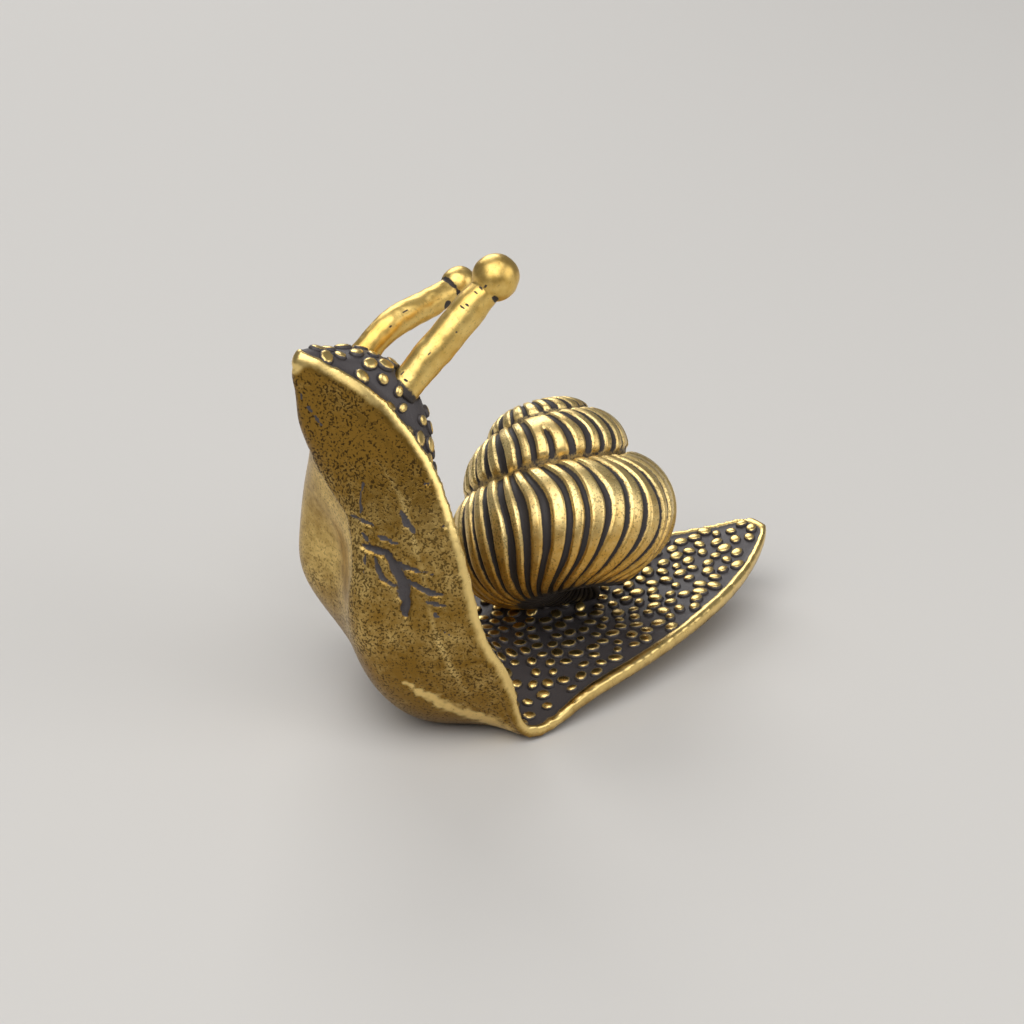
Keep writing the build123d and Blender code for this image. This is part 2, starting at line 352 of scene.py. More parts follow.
def blend_colours(tree, factor, low, high):
    """Colour that goes from low to high as the factor goes from 0 to 1."""
    node = add_node(tree, "ShaderNodeMix", data_type="RGBA")
    by_identifier = {socket.identifier: socket for socket in node.inputs}
    feed(tree, factor, by_identifier["Factor_Float"])
    feed(tree, low, by_identifier["A_Color"])
    feed(tree, high, by_identifier["B_Color"])
    return next(socket for socket in node.outputs if socket.identifier == "Result_Color")


def point_place(tree):
    """X, Y and Z of each point of a geometry."""
    position = tree.nodes.new("GeometryNodeInputPosition").outputs[0]
    return add_node(tree, "ShaderNodeSeparateXYZ", {0: position})


def geometry_tree(name, inputs):
    """Empty geometry tree with named inputs: (label, socket type, value)."""
    tree = bpy.data.node_groups.new(name, "GeometryNodeTree")
    tree.interface.new_socket("Geometry", in_out="INPUT", socket_type="NodeSocketGeometry")
    tree.interface.new_socket("Geometry", in_out="OUTPUT", socket_type="NodeSocketGeometry")
    for label, kind, value in inputs:
        tree.interface.new_socket(label, in_out="INPUT", socket_type=kind).default_value = value
    source = tree.nodes.new("NodeGroupInput")
    target = tree.nodes.new("NodeGroupOutput")
    return tree, source, target


def store(tree, geometry, name, value):
    """Keeps a value on the points of a geometry under a name that the materials read."""
    inputs = {"Geometry": geometry, "Name": name, "Value": value}
    return add_node(tree, "GeometryNodeStoreNamedAttribute", inputs).outputs[0]


def finish_tree(tree, geometry, material, target):
    """Ends a tree: real geometry, smooth faces and a material."""
    real = add_node(tree, "GeometryNodeRealizeInstances", {"Geometry": geometry})
    smooth = add_node(tree, "GeometryNodeSetShadeSmooth", {"Geometry": real.outputs[0]})
    inputs = {"Geometry": smooth.outputs[0], "Material": material}
    finish = add_node(tree, "GeometryNodeSetMaterial", inputs)
    tree.links.new(finish.outputs[0], target.inputs[0])


def run_tree(obj, tree, values):
    """Runs a tree on an object with its own input values, and keeps the result as a plain mesh."""
    modifier = obj.modifiers.new("nodes", "NODES")
    modifier.node_group = tree
    for item in tree.interface.items_tree:
        if item.in_out == "INPUT" and item.name in values:
            modifier[item.identifier] = values[item.name]
    keep_result(obj)


def keep_result(obj):
    """Replaces an object's mesh by what its modifiers make of it, and removes them."""
    depsgraph = bpy.context.evaluated_depsgraph_get()
    made = bpy.data.meshes.new_from_object(obj.evaluated_get(depsgraph))
    obj.modifiers.clear()
    obj.data = made
    made.name = obj.name


def new_object(name, mesh):
    """Puts a mesh, lamp or camera into the scene."""
    obj = bpy.data.objects.new(name, mesh)
    bpy.context.scene.collection.objects.link(obj)
    return obj


def set_values(mesh, name, values):
    """Keeps one number a point on a mesh."""
    attribute = mesh.attributes.new(name, "FLOAT", "POINT")
    attribute.data.foreach_set("value", np.asarray(values, np.float32))


def read_points(mesh):
    """Places and normals of a mesh's points."""
    points = np.zeros(len(mesh.vertices) * 3, np.float32)
    mesh.vertices.foreach_get("co", points)
    normals = np.zeros(len(mesh.vertices) * 3, np.float32)
    mesh.vertices.foreach_get("normal", normals)
    return points.reshape(-1, 3).astype(float), normals.reshape(-1, 3).astype(float)


def lumps(points, size):
    """Smooth random value between about -1 and 1 at each point, with lumps of a given size."""
    return np.array([noise.noise(Vector(point) / size) for point in points])


def smoothstep(low, high, values):
    """Rises smoothly from 0 at low to 1 at high."""
    share = np.clip((values - low) / (high - low), 0, 1)
    return share * share * (3 - 2 * share)


# Materials
def aged_metal_group():
    """Polished metal that shows through a dark skin where it is rubbed and no shade is painted, with fine
    grain, pits and stains.
    """
    tree = bpy.data.node_groups.new("aged metal", "ShaderNodeTree")
    for label, kind, value in (
        ("Rub_and_shade", "NodeSocketFloat", 1.0),
        ("Pits", "NodeSocketFloat", 0.0),
        ("Shine", "NodeSocketFloat", 0.0),
        ("Bright", "NodeSocketColor", (0.8, 0.6, 0.25, 1)),
        ("Deep", "NodeSocketColor", (0.45, 0.29, 0.09, 1)),
        ("Stain", "NodeSocketColor", (0.050, 0.029, 0.010, 1)),
        ("Skin", "NodeSocketColor", (0.03, 0.026, 0.026, 1)),
        ("Smoothest", "NodeSocketFloat", 0.2),
    ):
        tree.interface.new_socket(label, in_out="INPUT", socket_type=kind).default_value = value
    for label, kind in (
        ("Color", "NodeSocketColor"),
        ("Roughness", "NodeSocketFloat"),
        ("Metallic", "NodeSocketFloat"),
        ("Height", "NodeSocketFloat"),
    ):
        tree.interface.new_socket(label, in_out="OUTPUT", socket_type=kind)
    source = tree.nodes.new("NodeGroupInput")
    target = tree.nodes.new("NodeGroupOutput")
    place = tree.nodes.new("ShaderNodeTexCoord").outputs["Object"]

    def mottle(scale, detail, roughness):
        inputs = {"Vector": place, "Scale": scale, "Detail": detail, "Roughness": roughness}
        return Term(tree, add_node(tree, "ShaderNodeTexNoise", inputs).outputs[0])

    clouds = mottle(CLOUDS_SCALE, 4, 0.6)
    grain = mottle(GRAIN_SCALE, 3, 0.65)
    specks = mottle(SPECKS_SCALE, 2, 0.55)
    rub_and_shade = Term(tree, source.outputs["Rub_and_shade"])
    pits = Term(tree, source.outputs["Pits"])
    shine = Term(tree, source.outputs["Shine"])
    metal = (rub_and_shade + (grain - 0.5) * 0.4 + (clouds - 0.5) * 0.3 + (specks - 0.5) * 0.5).ramp(0.28, 0.62)
    pit = pits * (specks + (clouds - 0.5) * 0.3 + (pits - 1) * 0.12).ramp(0.49, 0.59)

    # Shine lifts the tone towards Bright; the pieces use it for polish and for painted highlights and sheen
    shade = (clouds * 0.6 + grain * 0.4 + shine * 0.35 - pits * 0.25).ramp(0.2, 0.75)
    tone = blend_colours(tree, shade, source.outputs["Deep"], source.outputs["Bright"])
    stained = blend_colours(tree, pit * 0.88, tone, source.outputs["Stain"])
    colour = blend_colours(tree, metal, source.outputs["Skin"], stained)
    smoothest = Term(tree, source.outputs["Smoothest"])
    roughness = smoothest + (1 - metal) * 0.2 + (grain - 0.5) * 0.2 + pits * 0.08 + pit * 0.2
    height = metal * 0.6 + grain * 0.25 + clouds * 0.4 - pit * 0.5 + (1 - metal) * specks * 0.8
    feed(tree, colour, target.inputs["Color"])
    feed(tree, roughness, target.inputs["Roughness"])
    feed(tree, metal * 0.75 + 0.25, target.inputs["Metallic"])
    feed(tree, height, target.inputs["Height"])
    return tree


def brass(name, group, bright, deep, skin, smoothest, relief):
    """Material of one piece: the aged metal group with this piece's colours."""
    material = bpy.data.materials.new(name)
    material.use_nodes = True
    tree = material.node_tree
    tree.nodes.clear()
    aged = add_node(tree, "ShaderNodeGroup", node_tree=group)
    for label in ("Rub_and_shade", "Pits", "Shine"):
        kept = add_node(tree, "ShaderNodeAttribute", attribute_name=label.lower())
        feed(tree, kept.outputs["Fac"], aged.inputs[label])
    aged.inputs["Bright"].default_value = (*bright, 1)
    aged.inputs["Deep"].default_value = (*deep, 1)
    aged.inputs["Skin"].default_value = (*skin, 1)
    aged.inputs["Smoothest"].default_value = smoothest
    inputs = {"Strength": RELIEF_STRENGTH, "Distance": relief, "Height": aged.outputs["Height"]}
    bump = add_node(tree, "ShaderNodeBump", inputs)
    shader = add_node(tree, "ShaderNodeBsdfPrincipled")
    feed(tree, aged.outputs["Color"], shader.inputs["Base Color"])
    feed(tree, aged.outputs["Roughness"], shader.inputs["Roughness"])
    feed(tree, aged.outputs["Metallic"], shader.inputs["Metallic"])
    feed(tree, bump.outputs["Normal"], shader.inputs["Normal"])
    output = tree.nodes.new("ShaderNodeOutputMaterial")
    tree.links.new(shader.outputs[0], output.inputs[0])
    return material


aged_metal = aged_metal_group()
foot_brass = brass(
    "antique brass",
    aged_metal,
    bright=(0.90, 0.66, 0.25),
    deep=(0.27, 0.15, 0.026),
    skin=(0.070, 0.061, 0.062),
    smoothest=0.30,
    relief=0.06 * MM,
)
shell_brass = brass(
    "shell brass",
    aged_metal,
    bright=(0.97, 0.75, 0.33),
    deep=(0.60, 0.34, 0.07),
    skin=(0.034, 0.028, 0.028),
    smoothest=0.31,
    relief=0.05 * MM,
)
stalk_brass = brass(
    "polished brass",
    aged_metal,
    bright=(0.95, 0.71, 0.26),
    deep=(0.66, 0.41, 0.09),
    skin=(0.040, 0.032, 0.028),
    smoothest=0.34,
    relief=0.05 * MM,
)


# Foot and head
def unroll(points):
    """Way along the foot from the tail's end, depth towards the sole, and the direction of that depth."""
    x, z = points[:, 0], points[:, 2]
    bend_turn = np.arctan2(SOLE_RADIUS - z, BEND_X - x)
    head_turn = np.arctan2(z - NOD_Z, x - NOD_X)
    neck_start = TAIL_LENGTH + SOLE_RADIUS * math.pi / 2
    head_start = neck_start + NECK_RISE
    nothing = np.zeros(len(x))
    on_head = z > NOD_Z
    on_neck = (z >= SOLE_RADIUS) & ~on_head
    on_tail = (x >= BEND_X) & ~on_head & ~on_neck
    way = np.select(
        (on_head, on_neck, on_tail),
        (head_start + NOD_RADIUS * head_turn, neck_start + z - SOLE_RADIUS, TAIL_LENGTH - (x - BEND_X)),
        TAIL_LENGTH + SOLE_RADIUS * (math.pi / 2 - bend_turn),
    )
    depth = np.select(
        (on_head, on_neck, on_tail),
        (NOD_RADIUS - np.hypot(x - NOD_X, z - NOD_Z), BEND_X - x, SOLE_RADIUS - z),
        np.hypot(BEND_X - x, SOLE_RADIUS - z),
    )
    turn = np.select((on_head, on_neck, on_tail), (head_turn, nothing, nothing + math.pi / 2), bend_turn)
    return way, depth, np.stack([-np.cos(turn), nothing, -np.sin(turn)], 1)


def rim_line(way, across, depth):
    """Half width of the foot and depth of its rim at each point, read from the widest points near it."""
    bins = ((way - way.min()) / RIM_STRETCH).astype(int)
    middles = way.min() + (np.arange(bins.max() + 1) + 0.5) * RIM_STRETCH
    widest = np.zeros(len(middles))
    np.maximum.at(widest, bins, np.abs(across))
    half_width = np.interp(way, middles, widest)
    at_edge = np.abs(across) > widest[bins] - RIM_BAND
    total = np.bincount(bins[at_edge], depth[at_edge], len(middles))
    number = np.bincount(bins[at_edge], minlength=len(middles))
    return half_width, np.interp(way, middles, total / np.maximum(number, 1))


def from_line(way, across, line):
    """Distance of each point of the sole from a scar's line, and how far along the line it lies, 0 to 1."""
    nearest = np.full(len(way), 1e9)
    share = np.zeros(len(way))
    corners = np.array(line) * MM
    lengths = np.linalg.norm(np.diff(corners, axis=0), axis=1)
    starts = np.concatenate([[0], np.cumsum(lengths)]) / lengths.sum()
    for k, (a, b) in enumerate(zip(corners, corners[1:])):
        along = ((way - a[0]) * (b - a)[0] + (across - a[1]) * (b - a)[1]) / lengths[k] ** 2
        along = np.clip(along, 0, 1)
        gap = np.hypot(way - a[0] - along * (b - a)[0], across - a[1] - along * (b - a)[1])
        closer = gap < nearest
        nearest[closer] = gap[closer]
        share[closer] = (starts[k] + along * (starts[k + 1] - starts[k]))[closer]
    return nearest, share


def round_head_tip(mesh):
    """Evens out the points near the tip of the head, so that it ends in a soft round."""
    points, _ = read_points(mesh)
    way, _, _ = unroll(points)
    start, end = TIP_SOFT
    share = smoothstep(way.max() - start, way.max() - end, way) * 0.5
    edges = np.zeros(len(mesh.edges) * 2, np.int32)
    mesh.edges.foreach_get("vertices", edges)
    first, second = edges.reshape(-1, 2).T
    near = (share[first] > 0) | (share[second] > 0)
    ends = np.concatenate((first[near], second[near]))
    others = np.concatenate((second[near], first[near]))
    number = np.maximum(np.bincount(ends, minlength=len(points)), 1)
    for _ in range(TIP_ROUNDS):
        for k in range(3):
            mean = np.bincount(ends, points[others, k], len(points)) / number
            points[:, k] += np.where(share > 0, (mean - points[:, k]) * share, 0)
    mesh.vertices.foreach_set("co", points.astype(np.float32).ravel())
    mesh.update()


def even_skin():
    """The foot solid's form under an even fine skin."""
    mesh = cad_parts["foot_and_head"].data.copy()
    joined = bmesh.new()
    joined.from_mesh(mesh)
    bmesh.ops.remove_doubles(joined, verts=joined.verts, dist=SKIN_WELD)
    joined.to_mesh(mesh)
    joined.free()
    mesh.materials.clear()
    foot = new_object("snail_foot_and_head", mesh)
    remesh = foot.modifiers.new("skin", "REMESH")
    remesh.mode = "VOXEL"
    remesh.voxel_size = SKIN_STEP
    soften = foot.modifiers.new("soften", "SMOOTH")
    soften.factor = 0.5
    soften.iterations = SKIN_ROUNDS
    keep_result(foot)
    round_head_tip(foot.data)
    return foot


def cut_scars(way, across, sole, ragged):
    """Depth of the scars at each point of the sole, and how dark they are there."""
    sink = np.zeros(len(way))
    dark = np.zeros(len(way))
    for line, half, deep in SCARS:
        gap, share = from_line(way, across, line)
        reach = half * MM * (0.35 + 0.65 * np.sqrt(np.clip(4 * share * (1 - share), 0, 1)))
        closeness = (gap + ragged) / reach
        sink = np.maximum(sink, (1 - smoothstep(*SCAR_CUT, closeness)) * sole * deep * MM)
        dark = np.maximum(dark, (1 - smoothstep(*SCAR_DARK, closeness)) * sole)
    return sink, dark


def make_foot():
    """Foot and head, with a rounded rim, a scarred and folded sole and polished nodules on the back."""
    foot = even_skin()
    mesh = foot.data
    points, normals = read_points(mesh)
    way, depth, outward = unroll(points)
    facing = np.einsum("ij,ij->i", normals, outward)
    across = points[:, 1]
    half_width, rim_depth = rim_line(way, across, depth)
    aside = np.minimum(half_width - np.abs(across), np.minimum(way - way.min(), way.max() - way))
    above_rim = rim_depth - depth
    from_rim = np.hypot(aside, above_rim)
    back = np.maximum(
        smoothstep(*BACK_RISE, above_rim),
        smoothstep(*BACK_FACING, -facing) * smoothstep(*BACK_INSET, aside),
    )
    on_tail = 1 - smoothstep(*TAIL_FADE, way)
    inside_rim = from_rim - HEAD_RIM_WIDTH - on_tail * (TAIL_RIM_WIDTH - HEAD_RIM_WIDTH)
    skin = back * smoothstep(-RIM_SOFT, RIM_SOFT, inside_rim)
    sole = smoothstep(*SOLE_DROP, -above_rim)

    on_sole = sole > 0
    ragged = np.zeros(len(points))
    ragged[on_sole] = lumps(points[on_sole], RAGGED_LUMP) * RAGGED_REACH
    scar_depth, scar = cut_scars(way, across, sole, ragged)
    sink = np.maximum(skin * RIM_STEP, scar_depth)
    bead = np.exp(-(((aside - BEAD_WIDTH) / BEAD_SPREAD) ** 2)) * sole
    second_line = np.exp(-(((aside - LINE_WIDTH) / LINE_SPREAD) ** 2)) * sole * (across < 0)
    second_line = second_line * smoothstep(*LINE_START, way) * (1 - smoothstep(*LINE_END, way))
    sink = np.maximum(sink, bead * BEAD_GROOVE) - second_line * LINE_HEIGHT
    gap, share = from_line(way, across, FOLD)
    fold_ways, fold_places = np.array(FOLD[::-1]).T * MM
    past_fold = across - np.interp(way, fold_ways, fold_places)
    fading = smoothstep(0, FOLD_FADE_IN, share) * (1 - smoothstep(FOLD_FADE_OUT, 1, share)) * sole
    # Painted highlight along the fold's ridge
    fold_highlight = np.exp(-((gap / FOLD_SPREAD) ** 2)) * fading
    # Past the fold the sole is smoother with fewer pits, and its paler tone is also a painted reflection
    sheen_past_fold = smoothstep(0, FOLD_BEYOND, past_fold) * fading
    step = smoothstep(*FOLD_DROP, past_fold) * (1 - smoothstep(*FOLD_RUN_OUT, gap)) * fading
    sink = np.maximum(sink, step * FOLD_STEP)
    # Painted light: a bright band along the low edge of the sole, as if lit from below
    gap, share = from_line(way, across, LIT_EDGE_LINE)
    lit_edge_half = LIT_EDGE_HALF + LIT_EDGE_GAIN * share
    lit_edge = (1 - smoothstep(*LIT_EDGE_SOFT, (gap + ragged * 3) / lit_edge_half)) * sole
    points -= normals * sink[:, None]
    points[:, 2] = np.maximum(points[:, 2], 0)
    mesh.vertices.foreach_set("co", points.astype(np.float32).ravel())
    mesh.update()
    # The rim's edge and the head's tip get a lighter tone: polished metal with a painted highlight, less on
    # the tail
    start, end = TIP_BRIGHT
    tip = smoothstep(way.max() - start, way.max() - end, way)
    bright_edge = np.maximum(1 - smoothstep(-RIM_BRIGHT, RIM_BRIGHT, -above_rim + ragged), tip)
    upper = smoothstep(*UPPER_START, way)
    # Painted sheen over the middle of the sole
    middle = smoothstep(*MIDDLE_SHEEN_START, way) * (1 - upper)
    set_values(mesh, "rub_and_shade", 1 - np.maximum(skin, scar * 0.95))
    # Fewer pits on the rim's bright edge and under the painted light on the low edge
    dull = sole * (1 - bright_edge) * (1 - lit_edge * 0.75)
    set_values(mesh, "pits", dull * (0.85 + 0.15 * upper) * (1 - sheen_past_fold * 0.5))
    # Shine lifts the tone: the rim and raised line, and painted highlights and sheen on fold, low edge and
    # middle
    polished = (
        bright_edge * (1 - 0.55 * on_tail),
        second_line * 0.6,
        fold_highlight * 0.5,
        lit_edge * 0.9,
        middle * 0.2,
    )
    set_values(mesh, "shine", np.maximum.reduce(polished))
    ground = skin * smoothstep(0, NODULE_MARGIN, inside_rim - NODULE_INSET)
    set_values(mesh, "nodule_ground", ground > 0.5)
    run_tree(foot, nodule_tree(), {})
    return foot


def nodule_tree():
    """Scatters flattened beads over the back, each turned at random, with rubbed tops."""
    tree, source, target = geometry_tree(
        "back nodules",
        (
            ("Spacing", "NodeSocketFloat", NODULE_SPACING),
            ("Length", "NodeSocketFloat", NODULE_LENGTH),
            ("Width", "NodeSocketFloat", NODULE_WIDTH),
            ("Height", "NodeSocketFloat", NODULE_HEIGHT),
            ("Seed", "NodeSocketInt", NODULE_SEED),
        ),
    )
    ground = add_node(tree, "GeometryNodeInputNamedAttribute", {"Name": "nodule_ground"}).outputs[0]
    scatter = add_node(
        tree,
        "GeometryNodeDistributePointsOnFaces",
        {
            "Mesh": source.outputs["Geometry"],
            "Distance Min": source.outputs["Spacing"],
            "Density Max": NODULE_DENSITY,
            "Density Factor": ground,
            "Seed": source.outputs["Seed"],
        },
        distribute_method="POISSON",
    )
    round_shape = {"Segments": NODULE_SEGMENTS, "Rings": NODULE_RINGS, "Radius": 1.0}
    bead = add_node(tree, "GeometryNodeMeshUVSphere", round_shape)
    spot = point_place(tree)
    level = Term(tree, spot.outputs["Z"])
    flattened = level.math("MINIMUM", NODULE_FLAT_LEVEL) * 1.2 + level * 0.16
    flat = add_node(
        tree,
        "ShaderNodeCombineXYZ",
        {0: spot.outputs["X"], 1: spot.outputs["Y"], 2: flattened},
    )
    marked = store(tree, bead.outputs[0], "rub_and_shade", level.ramp(*NODULE_RUB))
    shiny = store(tree, marked, "shine", NODULE_SHINE)
    beads = add_node(tree, "GeometryNodeSetPosition", {"Geometry": shiny, "Position": flat.outputs[0]})

    def chance(low, high, seed):
        """Random value for each nodule."""
        node = tree.nodes.new("FunctionNodeRandomValue")
        node.data_type = "FLOAT"
        for socket, value in zip(node.inputs[2:4], (low, high)):
            socket.default_value = value
        node.inputs["Seed"].default_value = seed
        return Term(tree, node.outputs[1])

    size = chance(*NODULE_SIZES, 1)
    scale = add_node(
        tree,
        "ShaderNodeCombineXYZ",
        {
            0: Term(tree, source.outputs["Length"]) * size,
            1: Term(tree, source.outputs["Width"]) * size,
            2: Term(tree, source.outputs["Height"]) * chance(*NODULE_HEIGHTS, 2),
        },
    )
    about_normal = {"Axis": (0, 0, 1), "Angle": chance(0, math.pi, 3)}
    turn = add_node(tree, "FunctionNodeAxisAngleToRotation", about_normal)
    aligned = add_node(
        tree,
        "FunctionNodeRotateRotation",
        {"Rotation": scatter.outputs["Rotation"], "Rotate By": turn.outputs[0]},
        rotation_space="LOCAL",
    )
    spread = add_node(
        tree,
        "GeometryNodeInstanceOnPoints",
        {
            "Points": scatter.outputs["Points"],
            "Instance": beads.outputs[0],
            "Rotation": aligned.outputs[0],
            "Scale": scale.outputs[0],
        },
    )
    whole = tree.nodes.new("GeometryNodeJoinGeometry")
    tree.links.new(spread.outputs[0], whole.inputs[0])
    tree.links.new(source.outputs["Geometry"], whole.inputs[0])
    finish_tree(tree, whole.outputs[0], foot_brass, target)
    return tree


# Shell
def shell_placing():
    """The shell's own frame: origin on its axis level with the body whorl, Z along the axis."""
    lean, swing = SHELL_LEAN, SHELL_SWING
    axis = Vector((math.sin(swing) * math.cos(lean), math.cos(swing) * math.cos(lean), math.sin(lean)))
    side = (Vector((1, 0, 0)) - axis * axis.x).normalized()
    turned = Matrix((side, axis.cross(side), axis)).transposed()
    return Vector((SHELL_X, SHELL_Y, SHELL_Z)), turned.to_euler()


def whorl(turn, coil, tube):
    """Coil radius, tube radius and height of the shell's tube, a number of turns on from the front."""
    onward = turn.math("MAXIMUM", 0)
    hidden = turn.math("MINIMUM", 0)
    left = (1 - (onward / TURNS_TO_POINT) ** TURN_POWER).math("MAXIMUM", 0.02)
    shrink = left**SHRINK_POWER * (1 - hidden * hidden * TUCK_SHARE)
    rise = tube * SPIRE_RISE_SHARE
    return coil * shrink, tube * shrink, rise * (1 - left**CLIMB_POWER)


def crossing(here, other):
    """Crossing of another whorl's outline with this one's: the angle to it and the half angle it covers."""
    coil, tube, height = here
    other_coil, other_tube, other_height = other
    out = other_coil - coil
    up = other_height - height
    step = (out * out + up * up) ** 0.5
    along = (tube * tube - other_tube * other_tube + step * step) / (step * 2)
    share = (along / tube).math("MAXIMUM", -1).math("MINIMUM", 1)
    return up.math("ARCTAN2", out), share.math("ARCCOSINE")


def shell_tree():
    """Ribbed tube wound round the shell's axis, closed at both ends, with dark grooves and seams, painted
    shade under it and at its lip, and a top painted lighter.
    """
    tree, source, target = geometry_tree(
        "ribbed shell",
        (
            ("Coil Radius", "NodeSocketFloat", COIL_RADIUS),
            ("Tube Radius", "NodeSocketFloat", TUBE_RADIUS),
            ("Ribs Per Turn", "NodeSocketFloat", RIBS_PER_TURN),
            ("Ribs Lost Per Turn", "NodeSocketFloat", RIBS_LOST_PER_TURN),
            ("Rib Sweep Below", "NodeSocketFloat", RIB_SWEEP_BELOW),
            ("Rib Sweep Above", "NodeSocketFloat", RIB_SWEEP_ABOVE),
            ("Groove Share", "NodeSocketFloat", GROOVE_SHARE),
            ("Forked Groove", "NodeSocketInt", FORKED_GROOVE),
            ("Apex Radius", "NodeSocketFloat", APEX_RADIUS),
            ("Steps Per Rib", "NodeSocketInt", STEPS_PER_RIB),
            ("Steps Around", "NodeSocketInt", STEPS_AROUND),
            ("Place", "NodeSocketVector", (0, 0, 0)),
            ("Turned", "NodeSocketRotation", (0, 0, 0)),
        ),
    )

    def given(label):
        return Term(tree, source.outputs[label])

    ribs = given("Ribs Per Turn")
    lost = given("Ribs Lost Per Turn")
    first_rib = ribs * FIRST_TURN
    last_rib = ribs * LAST_TURN - lost * LAST_TURN**2 / 2
    rows = ((last_rib - first_rib) * given("Steps Per Rib")).math("ROUND") + 1
    grid = add_node(
        tree,
        "GeometryNodeMeshGrid",
        {"Vertices X": rows, "Vertices Y": given("Steps Around"), "Size X": 1.0, "Size Y": 1.0},
    )
    place = point_place(tree)
    # Along the tube the rows count ribs, so that every groove runs along the grid
    count = (Term(tree, place.outputs["X"]) + 0.5) * (last_rib - first_rib) + first_rib
    onward = count.math("MAXIMUM", 0)
    turn = count.math("MINIMUM", 0) / ribs + (ribs - (ribs * ribs - lost * onward * 2) ** 0.5) / lost
    # Round the section the columns follow the outline, and the last one closes it back at the first
    columns = given("Steps Around")
    column = (Term(tree, place.outputs["Y"]) + 0.5) * (columns - 1) / (columns - 2)
    column = column * column.math("LESS_THAN", 1.0001)
    angle = (column * 2 - 1) * ARC_HALF
    from_lip = (turn - FIRST_TURN) / LIP_ROUND
    from_point = (LAST_TURN - turn) / POINT_ROUND
    end = from_lip.math("MINIMUM", from_point).math("MINIMUM", 1).math("MAXIMUM", 0)
    scaled = {0: count * WAVER_PER_RIB, 1: angle * WAVER_PER_ANGLE}
    along_ribs = add_node(tree, "ShaderNodeCombineXYZ", scaled)
    waver = add_node(
        tree,
        "ShaderNodeTexNoise",
        {
            "Vector": along_ribs.outputs[0],
            "Scale": 1.0,
            "Detail": 1.0,
        },
    )
    uneven = Term(tree, waver.outputs[0]) - 0.5
    low = angle.math("MINIMUM", 0)
    high = angle.math("MAXIMUM", 0)
    sweep = low * low * given("Rib Sweep Below") + high * high * given("Rib Sweep Above")
    turn = turn + (uneven * RIB_WAVER / ribs - sweep) * end

    coil, tube, height = whorl(turn, given("Coil Radius"), given("Tube Radius"))
    above = whorl(turn + 1, given("Coil Radius"), given("Tube Radius"))
    below = whorl(turn - 1, given("Coil Radius"), given("Tube Radius"))
    up_way, up_half = crossing((coil, tube, height), above)
    down_way, down_half = crossing((coil, tube, height), below)
    none_above = turn.math("GREATER_THAN", LAST_TURN - 1) * math.pi
    none_below = turn.math("LESS_THAN", FIRST_TURN + 1) * math.pi * 2
    to_upper = up_way - up_half - angle + none_above
    to_lower = angle - down_way - down_half + none_below
    to_seam = to_upper.math("MINIMUM", to_lower) * tube
    nearest = count.math("ROUND")
    chance = add_node(tree, "ShaderNodeTexWhiteNoise", {"W": nearest}, noise_dimensions="1D")
    spread = add_node(tree, "FunctionNodeSeparateColor", {0: chance.outputs["Color"]})
    rib_end = add_node(tree, "ShaderNodeTexWhiteNoise", {"W": count.math("FLOOR")}, noise_dimensions="1D")
    ragged = uneven * SEAM_WAVER + (Term(tree, rib_end.outputs[0]) - 0.5) * SEAM_RAGGED
    seam = 1 - (to_seam + ragged).ramp(*SEAM_REACH)
    wander = (Term(tree, spread.outputs[1]) - 0.5) * GROOVE_WANDER
    from_groove = (count - nearest + wander).math("ABSOLUTE")
    # Above its start the forked groove has less than no width, so that two ribs join there
    forked = nearest.math("COMPARE", given("Forked Groove"), 0.1) * angle.ramp(*FORK_START)
    groove_half = Term(tree, spread.outputs[0]) * GROOVE_HALF_SPREAD + GROOVE_HALF
    groove_half = groove_half * (1 - forked) - forked * FORK_CLOSING
    worn_smooth = turn.ramp(*WORN_TURNS) * WORN_SHARE
    band = (from_groove - groove_half).ramp(*GROOVE_EDGE).math("MAXIMUM", worn_smooth) * (1 - seam)
    crown = 1 - (0.5 - from_groove) * (0.5 - from_groove) * CROWN_FALL
    girth = SHELL_GIRTH - given("Groove Share") * (1 - band * crown)
    # Painted shade: below these angles the tube's underside goes to the dark skin, as if in shadow
    underside_painted_shade = low.ramp(*UNDERSIDE_PAINTED_SHADE)
    # Round ends on the tube
    girth = girth * (1 - (1 - end) * (1 - end)).math("MAXIMUM", 0) ** 0.5

    radius = coil + tube * girth * angle.math("COSINE")
    heading = FRONT_ANGLE + turn * (2 * math.pi)
    point = add_node(
        tree,
        "ShaderNodeCombineXYZ",
        {
            0: radius * heading.math("COSINE"),
            1: radius * heading.math("SINE"),
            2: height + tube * girth * angle.math("SINE"),
        },
    )
    # Painted shade: the closed lip goes to the dark skin, like the shade inside an open mouth
    lip_painted_shade = (turn - FIRST_TURN).ramp(*LIP_PAINTED_SHADE)
    rubbed = store(tree, grid.outputs[0], "rub_and_shade", band * underside_painted_shade * lip_painted_shade + seam * SEAM_RUB)
    pitted = store(tree, rubbed, "pits", SHELL_PITS)
